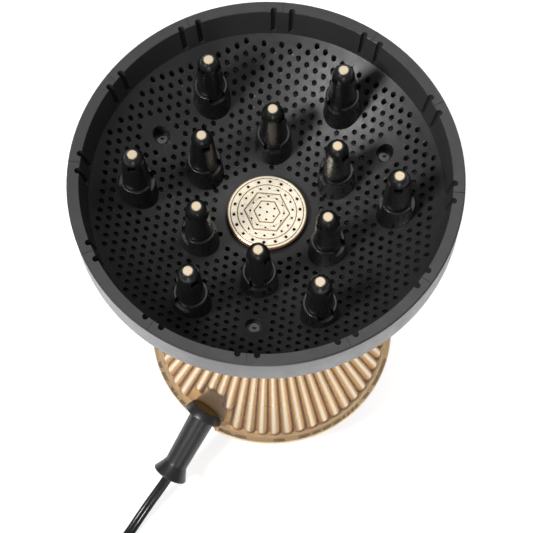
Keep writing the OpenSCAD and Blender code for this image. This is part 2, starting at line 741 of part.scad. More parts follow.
module base_trim() {
    top_z = cup_h - edge_h;
    color([0.83, 0.6, 0.32]) difference() {
        rotate_extrude($fn = fine) polygon([[equator_r - 0.5, top_z], [equator_r - 0.5, top_z - 3.4],
            [equator_r - 1.6, top_z - 4.4], [equator_r - 5, trim_z], [cup_top_r - 0.6, trim_z],
            [cup_top_r - 0.6, trim_z + 2], [cup_top_r - 1.4, top_z - 2], [cup_top_r - 1.4, top_z]]);
        collar_space(seat);
    }
}

module base_cup() {
    ledge_r = cup_top_r - 4;
    color([0.08, 0.08, 0.085]) difference() {
        union() {
            rotate_extrude($fn = fine) polygon([[equator_r - 5.1, trim_z], [foot_r + 2, foot_z + 3],
                [foot_r, foot_z], [foot_r - 1, 1], [foot_r - 3, 1], [foot_r - 4, foot_z],
                [grille_r + 0.3, foot_z], [grille_r + 0.3, foot_z + floor_t],
                [foot_r - wall, foot_z + floor_t], [ledge_r - 2, trim_z - 2],
                [ledge_r - 2, baffle_z], [ledge_r + 2.8, baffle_z], [ledge_r + 2.8, trim_z]]);
            at_angles(post_angles) translate([post_ring_r, 0, foot_z])
                cylinder(h = baffle_z - foot_z, r = post_r, $fn = medium);
        }
        for (k = [0:intake_slots - 1]) rotate([0, 0, 360 * (k + 0.5) / intake_slots])
            translate([foot_r - 4, -1.4, foot_z + 6]) cube([24, 2.8, trim_z - foot_z - 12]);
        at_angles(post_angles) translate([post_ring_r, 0, 0]) {
            translate([0, 0, -1]) cylinder(h = 80, r = screw_r + 0.2, $fn = medium);
            translate([0, 0, -1]) cylinder(h = foot_z + 4, r = foot_pad_r + 0.4, $fn = medium);
        }
        collar_space(seat);
    }
}

module intake_grille() {
    pitch = 6;
    step = pitch * cos(30);
    reach = grille_r - 5;
    count = ceil(reach / step);
    color([0.07, 0.07, 0.075]) difference() {
        tube(foot_z, foot_z + grille_t, grille_r);
        for (i = [-count:count], j = [-count:count]) {
            p = [i * step, (j + (i % 2 == 0 ? 0 : 0.5)) * pitch];
            if (norm(p) < reach) translate([p[0], p[1], foot_z - 1])
                cylinder(h = grille_t + 2, r = 2.5, $fn = 6);
        }
    }
}

module lint_filter() {
    z = foot_z + grille_t;
    color([0.45, 0.45, 0.45]) {
        tube(z, z + 0.4, grille_r - 1);
        tube(z + 0.4, z + 2, grille_r - 1, grille_r - 3);
    }
}

module rubber_feet() {
    color([0.03, 0.03, 0.03]) at_angles([for (a = post_angles) a + 45])
        translate([foot_r - 2, 0, 0]) difference() {
            cylinder(h = foot_z, r = 4, $fn = medium);
            difference() {
                translate([-20, -20, 1]) cube([40, 40, 20]);
                translate([2 - foot_r, 0, 0]) tube(0, foot_z + 2, foot_r - 4 - seat, foot_r - 7);
            }
        }
}

module base_screws() {
    color([0.6, 0.6, 0.62]) at_angles(post_angles) translate([post_ring_r, 0, foot_z + 1.2])
        mirror([0, 0, 1]) screw(foot_pad_r, 1.8, screw_r, baffle_z - foot_z + 3, 6);
}

// ---------------------------------------------------------------- fan and motor

module fan_duct() {
    out_r = duct_r + duct_wall;
    low = duct_z + baffle_t;
    color([0.3, 0.3, 0.32]) {
        difference() {
            union() {
                rotate_extrude($fn = fine) polygon([[duct_r + 3, duct_z], [cup_top_r - 1.8, duct_z],
                    [cup_top_r - 1.8, low], [out_r + 2, low], [out_r, low + 3], [out_r, duct_top_z],
                    [heater_r + heater_t, sleeve_z], [heater_r - 0.6, sleeve_z],
                    [duct_r, duct_top_z - 1], [duct_r, duct_z + 3]]);
                at_angles(post_angles) translate([post_ring_r, 0, low])
                    cylinder(h = 5, r = post_r, $fn = medium);
            }
            at_angles(post_angles) translate([post_ring_r, 0, duct_z - 1])
                cylinder(h = 6, r = screw_r, $fn = medium);
            collar_space(seat);
        }
        holder_r = motor_r + holder_gap;
        tube(motor_z + 2, motor_z + motor_h - 2, holder_r + holder_t, holder_r);
        intersection() {
            for (k = [0:vanes - 1]) rotate([0, 0, 360 * k / vanes])
                translate([holder_r + 0.6, 0, motor_z + motor_h / 2]) rotate([18, 0, 0])
                    translate([0, -0.6, -motor_h / 2]) cube([30, 1.2, motor_h]);
            tube(motor_z + 3, motor_z + motor_h - 3, duct_r + 0.6, holder_r + 0.3);
        }
    }
}

module fan_impeller() {
    tip = duct_r - fan_gap;
    color([0.2, 0.2, 0.22]) difference() {
        union() {
            rotate_extrude($fn = fine) polygon([[0, fan_z - 2], [5, fan_z - 1], [hub_r, fan_z + 3],
                [hub_r, fan_z + fan_h], [0, fan_z + fan_h]]);
            intersection() {
                for (k = [0:fan_blades - 1]) rotate([0, 0, 360 * k / fan_blades])
                    translate([hub_r - 1, 0, fan_z + fan_h / 2]) rotate([52, 0, 0])
                        translate([0, -0.6, -9]) cube([30, 1.2, 18]);
                tube(fan_z + 1.5, fan_z + fan_h - 1, tip, hub_r - 1);
            }
        }
        translate([0, 0, fan_z + 2]) cylinder(h = 40, r = shaft_r, $fn = medium);
    }
}

module motor_shaft() {
    color([0.75, 0.76, 0.78]) tube(fan_z + 2, motor_z + motor_h + cap_h + 1.5, shaft_r);
}

can_wall = 1;
bush_r = 3.4;
bush_h = 4;

module motor_can() {
    color([0.7, 0.7, 0.72]) difference() {
        tube(motor_z, motor_z + motor_h, motor_r);
        tube(motor_z + can_wall, motor_z + motor_h + 1, motor_r - can_wall);
        tube(motor_z - 1, motor_z + 5, bush_r);
    }
}

module motor_magnets() {
    arc_r = motor_r - can_wall;
    color([0.25, 0.25, 0.27]) difference() {
        tube(motor_z + 6, motor_z + motor_h - 5, arc_r - touch, arc_r - 2.4);
        for (a = [0, 90]) rotate([0, 0, a]) if (a == 90)
            translate([-40, -3.5, motor_z]) cube([80, 7, motor_h]);
    }
}

// The wound rotor: three poles, their windings and the commutator
module motor_armature() {
    pole_r = motor_r - can_wall - 2.4 - 0.4;
    low = motor_z + 7;
    high = motor_z + motor_h - 6;
    color([0.72, 0.42, 0.2]) difference() {
        union() {
            tube(low, high, 5);
            tube(high, high + 5, 3.6);
            for (a = [0, 120, 240]) rotate([0, 0, a]) {
                translate([0, -1.6, low + 1]) cube([pole_r - 0.6, 3.2, high - low - 2]);
                translate([3, -3.6, low + 2]) cube([3.6, 7.2, high - low - 4]);
            }
            difference() {
                tube(low + 1.5, high - 1.5, pole_r, pole_r - 1.2);
                for (a = [60, 180, 300]) rotate([0, 0, a])
                    translate([0, -1.2, low]) cube([20, 2.4, motor_h]);
            }
        }
        tube(low - 1, high + 10, shaft_r);
    }
}

module motor_end_cap() {
    z = motor_z + motor_h;
    color([0.12, 0.12, 0.13]) difference() {
        union() {
            tube(z, z + cap_h, motor_r);
            tube(z - 1.5, z, motor_r - can_wall - 0.1, motor_r - can_wall - 2);
        }
        tube(z - 2, z + cap_h - 1.4, 9);
        tube(z - 2, z + cap_h + 1, bush_r);
    }
}

module motor_bearings() {
    color([0.72, 0.55, 0.3]) for (z = [motor_z - 0.5, motor_z + motor_h + cap_h - bush_h + 0.5])
        tube(z, z + bush_h, bush_r - touch, shaft_r + shaft_gap);
}

module rectifier_board() {
    z = motor_z + motor_h + cap_h;
    color([0.12, 0.35, 0.2]) {
        difference() {
            tube(z + 2, z + 3.2, 11);
            tube(z, z + 5, 3);
        }
        for (a = [45, 135, 225, 315]) rotate([0, 0, a]) {
            translate([9.4, 0, z]) cylinder(h = 2.4, r = 0.8, $fn = 24);
            translate([6.5, -2.5, z + 3]) cube([2.4, 5, 2.2]);
        }
    }
}

// ---------------------------------------------------------------- heater

module heater_sleeve() {
    color([0.78, 0.74, 0.64]) tube(sleeve_z, sleeve_z + heater_h, heater_r + heater_t, heater_r);
}

function coil_z(k) = mica_z + 6 + k * (mica_h - 12) / (coil_turns - 1);

// Two mica boards that cross on the axis, notched for the heating wire
module heater_frame() {
    half = heater_r - 0.4;
    color([0.82, 0.78, 0.68]) difference() {
        union() for (a = [0, 90]) rotate([0, 0, a])
            translate([-half, -mica_t / 2, mica_z - 3]) cube([2 * half, mica_t, mica_h + 3]);
        for (k = [0:coil_turns - 1]) tube(coil_z(k) - coil_wire_r - 0.1,
            coil_z(k) + coil_wire_r + 0.1, 60, coil_r - coil_wire_r - 0.1);
    }
}

// The heating wire: one ring a turn, joined by short risers
module heater_coil() {
    color([0.62, 0.58, 0.55]) {
        for (k = [0:coil_turns - 1]) translate([0, 0, coil_z(k)]) rotate_extrude($fn = medium)
            translate([coil_r, 0]) circle(r = coil_wire_r, $fn = 16);
        for (k = [0:coil_turns - 2]) rotate([0, 0, 30 + 40 * (k % 2)])
            translate([coil_r, 0, coil_z(k)])
                cylinder(h = coil_z(k + 1) - coil_z(k), r = coil_wire_r * 0.8, $fn = 16);
    }
}

module thermostat() {
    color([0.75, 0.75, 0.78]) translate([7, mica_t / 2, mica_z + mica_h - 14]) rotate([-90, 0, 0]) {
        cylinder(h = 1.5, r = 5, $fn = medium);
        translate([0, 0, 1.5]) cylinder(h = 3, r = 4, $fn = medium);
    }
}

module thermal_fuse() {
    color([0.85, 0.83, 0.78]) translate([-8, -mica_t / 2 - 1.6, mica_z + mica_h - 24])
        cylinder(h = 11, r = 1.6 - touch, $fn = medium);
}

// ---------------------------------------------------------------- cord

module cord_collar() {
    back = 5;
    color([0.09, 0.09, 0.1]) on_guard() difference() {
        translate([0, 0, -collar_set]) sphere(r = collar_r, $fn = fine);
        translate([-20, -20, 0]) cube([40, 40, 20]);
        translate([-20, -20, -back - 20]) cube([40, 40, 20]);
        translate([0, 0, -4]) cylinder(h = 10, r = guard_r - 1.5, $fn = medium);
    }
}

// The tapered rubber guard with its flared mouth
module cord_guard() {
    length = guard_len + flare_len;
    color([0.08, 0.08, 0.085]) on_guard() difference() {
        union() {
            rotate_extrude($fn = medium) polygon(concat([[0, touch], [guard_r, touch],
                [guard_end_r, guard_len]],
                [for (k = [1:6]) let (t = k / 6)
                    [guard_end_r + (flare_r - guard_end_r) * pow(t, 1.15), guard_len
                        + (flare_len - 0.8) * t]],
                [[flare_r - 0.2, length - 0.3], [flare_r - 0.8, length], [0, length]]));
            translate([0, 0, -4]) cylinder(h = 5, r = guard_r - 1.5 - touch, $fn = medium);
        }
        translate([0, 0, length - cord_inset]) cylinder(h = cord_inset + 1, r = bore_r, $fn = medium);
    }
}

// The cord's points in the part's frame
function on_route(p) = [p[0] * cos(cord_angle) - p[1] * sin(cord_angle),
    p[0] * sin(cord_angle) + p[1] * cos(cord_angle), p[2]];
coil_middle = on_route([coil_at[0], coil_at[1], 0]);

module cord_lead() {
    color([0.03, 0.03, 0.03]) flat_sweep([for (p = lead_points) on_route(p)], cord_w, cord_t);
}

module cord_coil() {
    color([0.03, 0.03, 0.03]) translate(coil_middle) rotate_extrude($fn = fine) polygon([
        [coil_in_r + 0.8, 0], [coil_out_r - 0.8, 0], [coil_out_r, 1], [coil_out_r, coil_height - 1],
        [coil_out_r - 0.8, coil_height], [coil_in_r + 0.8, coil_height],
        [coil_in_r, coil_height - 1], [coil_in_r, 1]]);
}

// The strap that holds the coil's turns together
module coil_tie() {
    strap = 1.2;
    gap = 0.1;
    width = 9;
    from_r = sqrt(coil_in_r * coil_in_r - width * width / 4) - gap;
    to_r = coil_out_r + gap;
    color([0.02, 0.02, 0.02]) translate(coil_middle) rotate([0, 0, tie_angle]) difference() {
        translate([from_r - strap, -width / 2, 0])
            cube([to_r - from_r + 2 * strap, width, coil_height + strap]);
        translate([from_r, -width, -1]) cube([to_r - from_r, 2 * width, coil_height + gap + 1]);
    }
}

module cord_tail() {
    color([0.03, 0.03, 0.03])
        flat_sweep([for (p = tail_points) coil_middle + p], cord_w, cord_t);
}

module plug_body() {
    color([0.04, 0.04, 0.04]) translate(coil_middle + plug_at) rotate([0, 90, 0]) difference() {
        union() {
            cylinder(h = relief_len, r1 = 4.4, r2 = 6.5, $fn = medium);
            translate([0, 0, relief_len]) intersection() {
                cylinder(h = plug_len, r1 = plug_w / 2 - 5, r2 = plug_w / 2, $fn = fine);
                translate([-plug_t / 2, -plug_w, 0]) cube([plug_t, 2 * plug_w, plug_len]);
            }
        }
        for (side = [-1, 1]) translate([0, side * pin_gap / 2, relief_len + plug_len - 6])
            cylinder(h = 10, r = plug_pin_r, $fn = medium);
    }
}

module plug_pins() {
    color([0.8, 0.8, 0.8]) translate(coil_middle + plug_at) rotate([0, 90, 0])
        for (side = [-1, 1]) translate([0, side * pin_gap / 2, relief_len + plug_len - 6]) {
            cylinder(h = pin_len + 5, r = plug_pin_r, $fn = medium);
            translate([0, 0, pin_len + 5]) cylinder(h = 1, r1 = plug_pin_r, r2 = plug_pin_r - 1,
                $fn = medium);
        }
}

rim_ring();
diffuser_plate();
medallion();
medallion_seat();
finger_bases(0, 5);  // inner_finger_bases
finger_bases(6, 11);  // outer_finger_bases
for (i = [0:11]) finger_sleeve(i);
finger_tips();
plate_screws();
bowl_shell();
neck_shell();
neck_screws();
control_panel();
slide_knob();
cool_button();
button_spring();
switch_block();
clear_bell();
gold_liner();
base_trim();
base_cup();
intake_grille();
lint_filter();
rubber_feet();
base_screws();
fan_duct();
fan_impeller();
motor_shaft();
motor_can();
motor_magnets();
motor_armature();
motor_end_cap();
motor_bearings();
rectifier_board();
heater_sleeve();
heater_frame();
heater_coil();
thermostat();
thermal_fuse();
cord_collar();
cord_guard();
cord_lead();
cord_coil();
coil_tie();
cord_tail();
plug_body();
plug_pins();
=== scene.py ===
"""The looks of a stand-up hair dryer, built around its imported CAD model."""

import json
import math

import bpy
import numpy as np
from mathutils import Matrix, Vector


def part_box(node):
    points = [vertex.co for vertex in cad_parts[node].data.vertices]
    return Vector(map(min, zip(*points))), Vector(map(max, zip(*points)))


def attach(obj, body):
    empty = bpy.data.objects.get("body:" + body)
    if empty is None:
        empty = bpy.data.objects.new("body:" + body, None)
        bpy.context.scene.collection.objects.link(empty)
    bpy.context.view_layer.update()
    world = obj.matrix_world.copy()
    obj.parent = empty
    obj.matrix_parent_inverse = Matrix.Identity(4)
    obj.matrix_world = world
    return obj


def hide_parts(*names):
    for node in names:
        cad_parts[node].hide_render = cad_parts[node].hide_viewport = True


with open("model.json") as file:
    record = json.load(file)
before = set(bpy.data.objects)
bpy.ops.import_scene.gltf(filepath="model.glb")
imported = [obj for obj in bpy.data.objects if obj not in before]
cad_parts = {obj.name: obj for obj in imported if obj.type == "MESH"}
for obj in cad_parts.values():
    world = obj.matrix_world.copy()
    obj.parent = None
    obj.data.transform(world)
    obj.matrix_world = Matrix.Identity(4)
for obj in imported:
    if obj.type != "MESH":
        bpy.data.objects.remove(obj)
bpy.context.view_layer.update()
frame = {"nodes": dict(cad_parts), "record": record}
nodes = frame["nodes"]
HOUSING = "housing"

# ---------------------------------------------------------------- camera

# Lens and sensor in millimetres
LENS = 141.0
SENSOR_WIDTH = 36.0
# How far the camera looks down, its roll, and its turn about the part's upright axis
VIEW_DOWN = math.radians(68.07)
VIEW_ROLL = math.radians(-2.45)
VIEW_TURN = math.radians(7.7)
# Distance to the rim's centre, and how far the centre lies right of and above the line of sight
VIEW_DISTANCE = 0.99257
AIM_RIGHT = 0.001433
AIM_ABOVE = 0.04259
VIEW_END = 50.0


def make_camera():
    """Looks down into the bowl. The rim's centre lies a little above the middle of the picture."""
    right = Vector((1, 0, 0))
    up = Vector((0, math.sin(VIEW_DOWN), math.cos(VIEW_DOWN)))
    ahead = Vector((0, math.cos(VIEW_DOWN), -math.sin(VIEW_DOWN)))
    rim_centre = Vector((0, 0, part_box("rim_ring")[1].z))
    place = rim_centre - AIM_RIGHT * right - AIM_ABOVE * up - VIEW_DISTANCE * ahead
    turned_right = math.cos(VIEW_ROLL) * right + math.sin(VIEW_ROLL) * up
    turned_up = math.cos(VIEW_ROLL) * up - math.sin(VIEW_ROLL) * right
    axes = Matrix((turned_right, turned_up, -ahead)).transposed()
    around = Matrix.Rotation(VIEW_TURN, 4, "Z")
    camera = bpy.data.objects.new("camera", bpy.data.cameras.new("camera"))
    camera.data.lens = LENS
    camera.data.sensor_width = SENSOR_WIDTH
    camera.data.clip_end = VIEW_END
    camera.matrix_world = around @ Matrix.Translation(place) @ axes.to_4x4()
    bpy.context.scene.collection.objects.link(camera)
    bpy.context.scene.camera = camera


# ---------------------------------------------------------------- mesh helpers


HEIGHT_REACH = 0.0002  # how near to a height a point counts as lying at it


def add_mesh(name, points, faces):
    """A new smooth piece from points in metres, riding on the housing."""
    mesh = bpy.data.meshes.new(name)
    mesh.from_pydata([tuple(p) for p in points], [], faces)
    mesh.validate()
    mesh.polygons.foreach_set("use_smooth", [True] * len(mesh.polygons))
    piece = bpy.data.objects.new(name, mesh)
    bpy.context.scene.collection.objects.link(piece)
    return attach(piece, HOUSING)


def grid_faces(rings, columns):
    """Quads between neighbouring rings of points."""
    return [
        (r * columns + c, r * columns + (c + 1) % columns,
         (r + 1) * columns + (c + 1) % columns, (r + 1) * columns + c)
        for r in range(rings - 1) for c in range(columns)
    ]


def radius_near(node, height):
    """The largest distance from the upright axis of a CAD node's points near a height."""
    points = [v.co for v in nodes[node].data.vertices]
    return max(p.xy.length for p in points if abs(p.z - height) < HEIGHT_REACH)


def around_axis(radius, angle, height):
    """A point at a distance from the upright axis. The angle is in radians."""
    return (radius * math.cos(angle), radius * math.sin(angle), height)


# ---------------------------------------------------------------- cord

# A flat cord of two strands, and the direction in which it leaves the object
CORD_WIDTH = 0.0058
CORD_THICK = 0.0036
CORD_ANGLE = math.radians(240)
STRAND_POINTS = 11  # steps round one strand's outline
LEAD_STEP = 0.002   # steps along the cord on each side of the coil
TAIL_STEP = 0.003
# From inside the guard to the coil: distance from the axis, distance aside, height
LEAD = [
    (0.0925, 0, 0.02344), (0.09932, 0, 0.0192), (0.104, -0.0003, 0.0162),
    (0.109, -0.0008, 0.0132), (0.115, -0.0014, 0.010), (0.121, -0.0018, 0.0072),
    (0.127, -0.002, 0.005), (0.133, -0.002, 0.0034), (0.140, -0.002, 0.0024),
    (0.148, -0.002, 0.0019), (0.156, -0.002, 0.0018), (0.163, -0.002, 0.0018),
    (0.170, -0.002, 0.0018),
]
# The coil's middle along and aside of the cord's direction, and the radius of its middle turns
COIL_ALONG = 0.170
COIL_ASIDE = 0.036
COIL_RADIUS = 0.032
# Whole turns, then in degrees: the last part turn, the arc over which the cord changes to the
# next turn, and the step between points
COIL_TURNS = 8
LAST_ARC = 120
CHANGE_ARC = 70
COIL_STEP = 5
# On the last part turn, the arc over which the cord climbs, and where it starts to move outwards
CLIMB_ARC = 50
MOVE_FROM = 45
# From on top of the coil to the plug, measured from the coil's middle in the part's frame
TAIL = [
    (0.002, -0.032, 0.0126), (0.012, -0.032, 0.0127), (0.022, -0.032, 0.0128),
    (0.032, -0.032, 0.013), (0.042, -0.032, 0.013), (0.050, -0.032, 0.013),
]


def smooth_line(points, step):
    """A Catmull-Rom curve through points, sampled about every step."""
    points = [np.array(p, float) for p in points]
    padded = [2 * points[0] - points[1], *points, 2 * points[-1] - points[-2]]
    line = []
    for a, b, c, d in zip(padded, padded[1:], padded[2:], padded[3:]):
        count = max(1, round(np.linalg.norm(c - b) / step))
        for k in range(count):
            t = k / count
            line.append(0.5 * (2 * b + (c - a) * t + (2 * a - 5 * b + 4 * c - d) * t**2
                               + (3 * b - a - 3 * c + d) * t**3))
    return [*line, points[-1]]


def ease(t):
    """0 to 1 with a smooth start and end."""
    t = min(1.0, max(0.0, t))
    return t * t * (3 - 2 * t)


def to_part(along, aside, height):
    """A point given along the cord's direction, in the part's frame."""
    c, s = math.cos(CORD_ANGLE), math.sin(CORD_ANGLE)
    return np.array((along * c - aside * s, along * s + aside * c, height))


def coil_turns():
    """The coil's turns around its middle: three layers of three columns, the last third on top."""
    outer, inner = COIL_RADIUS + CORD_WIDTH, COIL_RADIUS - CORD_WIDTH
    radii = [outer, COIL_RADIUS, inner, inner, COIL_RADIUS, outer, outer, COIL_RADIUS, inner]
    heights = [CORD_THICK * (0.5 + k // 3) for k in range(COIL_TURNS + 1)]
    start = math.degrees(CORD_ANGLE) - 90
    line = []
    for degrees in range(0, COIL_TURNS * 360, COIL_STEP):
        turn, part = divmod(degrees, 360)
        t = ease((part - 360 + CHANGE_ARC) / CHANGE_ARC)
        r = radii[turn] + (radii[turn + 1] - radii[turn]) * t
        z = heights[turn] + (heights[turn + 1] - heights[turn]) * t
        line.append((r, start + degrees, z))
    for degrees in range(0, LAST_ARC, COIL_STEP):
        r = inner + (COIL_RADIUS - inner) * ease((degrees - MOVE_FROM) / CHANGE_ARC)
        z = heights[-1] + CORD_THICK * ease(degrees / CLIMB_ARC)
        line.append((r, start + degrees, z))
    return [np.array(around_axis(r, math.radians(a), z)) for r, a, z in line]


def twin_section():
    """The outline of two round strands moulded side by side."""
    strand = CORD_THICK / 2
    apart = (CORD_WIDTH - CORD_THICK) / 2
    waist = math.acos(apart / strand)
    half = [(math.pi - waist) * (2 * k / STRAND_POINTS - 1) for k in range(STRAND_POINTS + 1)]
    right = [(apart + strand * math.cos(a), strand * math.sin(a)) for a in half]
    return right + [(-x, -y) for x, y in right]


def sweep(name, line, section):
    """A closed tube with the given section along a line, its width kept level."""
    line = np.array(line)
    ahead = np.gradient(line, axis=0)
    ahead /= np.linalg.norm(ahead, axis=1)[:, None]
    across = np.cross((0, 0, 1), ahead)
    across /= np.linalg.norm(across, axis=1)[:, None]
    up = np.cross(ahead, across)
    points = [p + a * x + u * y for p, a, u in zip(line, across, up) for x, y in section]
    n = len(section)
    faces = grid_faces(len(line), n)
    faces += [tuple(range(n))[::-1], tuple(range((len(line) - 1) * n, len(line) * n))]
    return add_mesh(name, points, faces)


def make_cord():
    """The whole mains cord: out of its guard, down to the floor, round the coil and to the plug."""
    middle = to_part(COIL_ALONG, COIL_ASIDE, 0)
    lead = [to_part(*p) for p in smooth_line(LEAD, LEAD_STEP)]
    coil = [middle + p for p in coil_turns()]
    tail = [middle + p for p in smooth_line(TAIL, TAIL_STEP)]
    line = lead[:-1] + coil + tail
    cord = sweep("mains_cord", line, twin_section())
    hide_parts("cord_lead", "cord_coil", "cord_tail")
    return cord


# ---------------------------------------------------------------- materials

FINE_GRAIN = 0.000006  # bump height of a fine satin finish


def new_material(name):
    """An empty node material: its tree, its Principled shader and a position in the part's frame."""
    material = bpy.data.materials.new(name)
    material.use_nodes = True
    tree = material.node_tree
    shader = tree.nodes["Principled BSDF"]
    place = tree.nodes.new("ShaderNodeTexCoord").outputs["Object"]
    return material, tree, shader, place


def noise(tree, place, scale, detail=3.0, rough=0.5):
    """A noise value, with scale in cells per metre."""
    node = tree.nodes.new("ShaderNodeTexNoise")
    node.inputs["Scale"].default_value = scale
    node.inputs["Detail"].default_value = detail
    node.inputs["Roughness"].default_value = rough
    tree.links.new(place, node.inputs["Vector"])
    return node.outputs["Fac"]


def spread(tree, value, low, high, start=0.3, end=0.7):
    """Maps a value from start..end to low..high. Noise mostly lies between 0.3 and 0.7."""
    node = tree.nodes.new("ShaderNodeMapRange")
    for name, number in (("From Min", start), ("From Max", end), ("To Min", low), ("To Max", high)):
        node.inputs[name].default_value = number
    tree.links.new(value, node.inputs["Value"])
    return node.outputs["Result"]


def mix_colour(tree, share, first, second):
    """Blends two colours, each a tuple or a socket."""
    node = tree.nodes.new("ShaderNodeMix")
    node.data_type = "RGBA"
    for socket, colour in (("A", first), ("B", second)):
        target = [s for s in node.inputs if s.name == socket and s.type == "RGBA"][0]
        if isinstance(colour, tuple):
            target.default_value = (*colour, 1)
        else:
            tree.links.new(colour, target)
    tree.links.new(share, node.inputs["Factor"])
    return [s for s in node.outputs if s.type == "RGBA"][0]


def add_bump(tree, shader, height, distance):
    """Roughens the surface by a height of up to distance, in metres."""
    node = tree.nodes.new("ShaderNodeBump")
    node.inputs["Distance"].default_value = distance
    node.inputs["Strength"].default_value = 1.0
    tree.links.new(height, node.inputs["Height"])
    tree.links.new(node.outputs["Normal"], shader.inputs["Normal"])


def height_socket(tree, place):
    """The height of a point of the surface, in the part's frame."""
    split = tree.nodes.new("ShaderNodeSeparateXYZ")
    tree.links.new(place, split.inputs["Vector"])
    return split.outputs["Z"]


def clouded(tree, tone, dark, light):
    """A colour that drifts slowly between two with a noise value."""
    return mix_colour(tree, spread(tree, tone, 0.0, 1.0), dark, light)


def set_sockets(shader, values):
    """Sets a shader's own sockets by name."""
    for name, value in values.items():
        shader.inputs[name].default_value = value


def moulded(name, dark, light, rough, rough_spread=0.06, grain=1600.0, depth=0.00002, cloud=25.0):
    """Moulded plastic or rubber: fine grain, and slow changes of tone and gloss."""
    material, tree, shader, place = new_material(name)
    tone = noise(tree, place, cloud, 4.0, 0.6)
    fine = noise(tree, place, grain, 2.0)
    tree.links.new(clouded(tree, tone, dark, light), shader.inputs["Base Color"])
    gloss = noise(tree, place, cloud * 6, 5.0, 0.65)
    tree.links.new(spread(tree, gloss, rough - rough_spread, rough + rough_spread),
                   shader.inputs["Roughness"])
    add_bump(tree, shader, fine, depth)
    return material


def metal(name, dark, light, rough, brushed=(1, 1, 1)):
    """Metal with fine drawn lines: brushed stretches the grain along the axes with small numbers."""
    material, tree, shader, place = new_material(name)
    set_sockets(shader, {"Metallic": 1.0})
    stretch = tree.nodes.new("ShaderNodeMapping")
    stretch.inputs["Scale"].default_value = brushed
    tree.links.new(place, stretch.inputs["Vector"])
    lines = noise(tree, stretch.outputs["Vector"], 2600.0, 2.0)
    tone = noise(tree, place, 60.0, 4.0, 0.6)
    tree.links.new(clouded(tree, tone, dark, light), shader.inputs["Base Color"])
    tree.links.new(spread(tree, lines, rough - 0.05, rough + 0.07), shader.inputs["Roughness"])
    add_bump(tree, shader, lines, FINE_GRAIN)
    return material


def grey(value):
    """A near neutral grey with a trace of violet."""
    return (value, value * 0.985, value * 1.02)


CLEAR_EDGE = 0.0024  # height of the clear bell's upright edge
EDGE_COVER = 0.3     # how much the clear edge and the clear face hide of what is behind them
FACE_COVER = 0.09
LINE_DEPTH = 0.0001  # depth at which a line in the medallion takes on its painted shade
LINE_PAINTED_SHADE = (0.36, 0.19, 0.06)
# Painted shade for the valleys between the liner's flutes
VALLEY_PAINTED_SHADE = (0.15, 0.06, 0.012)
FLANK_GOLD = (0.62, 0.34, 0.11)


def clear_plastic(edge_top):
    """Clear tinted plastic, denser in its thick lower edge, that the gold liner shows through."""
    material, tree, shader, place = new_material("clear_plastic")
    set_sockets(shader, {"IOR": 1.7, "Base Color": (0.34, 0.29, 0.25, 1)})
    height = height_socket(tree, place)
    cover = spread(tree, height, EDGE_COVER, FACE_COVER, edge_top - 0.0003, edge_top + 0.0004)
    tree.links.new(cover, shader.inputs["Alpha"])
    ripple = noise(tree, place, 90.0, 2.0)
    tree.links.new(spread(tree, ripple, 0.02, 0.06), shader.inputs["Roughness"])
    add_bump(tree, shader, ripple, 0.00003)
    return material


def medallion_gold_painted_shade(top):
    """Pale gold on the top face, and painted shade, brown-gold, in the lines cut into it."""
    material, tree, shader, place = new_material("medallion_gold_painted_shade")
    set_sockets(shader, {"Metallic": 0.55})
    tone = noise(tree, place, 45.0, 4.0, 0.6)
    pale = clouded(tree, tone, (0.80, 0.72, 0.56), (0.86, 0.80, 0.66))
    height = height_socket(tree, place)
    # Points lying more than the line depth below the top face get painted shade
    level = spread(tree, height, 0.0, 1.0, top - 2.2 * LINE_DEPTH, top - LINE_DEPTH)
    tree.links.new(mix_colour(tree, level, LINE_PAINTED_SHADE, pale), shader.inputs["Base Color"])
    fine = noise(tree, place, 2400.0, 2.0)
    tree.links.new(spread(tree, fine, 0.30, 0.42), shader.inputs["Roughness"])
    add_bump(tree, shader, fine, FINE_GRAIN)
    return material


def tip_gold():
    """Satin cream gold of the finger tips."""
    material, tree, shader, place = new_material("tip_gold")
    set_sockets(shader, {"Metallic": 0.7})
    tone = noise(tree, place, 300.0, 3.0, 0.6)
    colour = clouded(tree, tone, (0.55, 0.45, 0.31), (0.60, 0.50, 0.36))
    tree.links.new(colour, shader.inputs["Base Color"])
    tree.links.new(spread(tree, tone, 0.26, 0.36), shader.inputs["Roughness"])
    return material


def fluted_gold_painted_light():
    """Metallised gold plastic with painted light: painted shade, brown, in the valleys between its
    flutes, and a painted highlight, pale, on their crests.
    """
    material, tree, shader, place = new_material("fluted_gold_painted_light")
    set_sockets(shader, {"Metallic": 0.85, "Coat Weight": 0.2, "Coat Roughness": 0.1})
    rise = tree.nodes.new("ShaderNodeAttribute")
    rise.attribute_name = "flute"
    tone = noise(tree, place, 35.0, 2.0, 0.5)
    # Pale cream on the crests is a painted highlight
    painted_crest_highlight = clouded(tree, tone, (0.98, 0.82, 0.58), (1.0, 0.90, 0.72))
    # Brown towards the valleys is painted shade, masked by the flute attribute
    out_of_valley_shade = spread(tree, rise.outputs["Fac"], 0.0, 1.0, 0.2, 0.85)
    crest_highlight_share = spread(tree, rise.outputs["Fac"], 0.0, 1.0, 0.9, 1.0)
    flank = mix_colour(tree, out_of_valley_shade, VALLEY_PAINTED_SHADE, FLANK_GOLD)
    tree.links.new(mix_colour(tree, crest_highlight_share, flank, painted_crest_highlight), shader.inputs["Base Color"])
    tree.links.new(spread(tree, tone, 0.22, 0.32), shader.inputs["Roughness"])
    return material


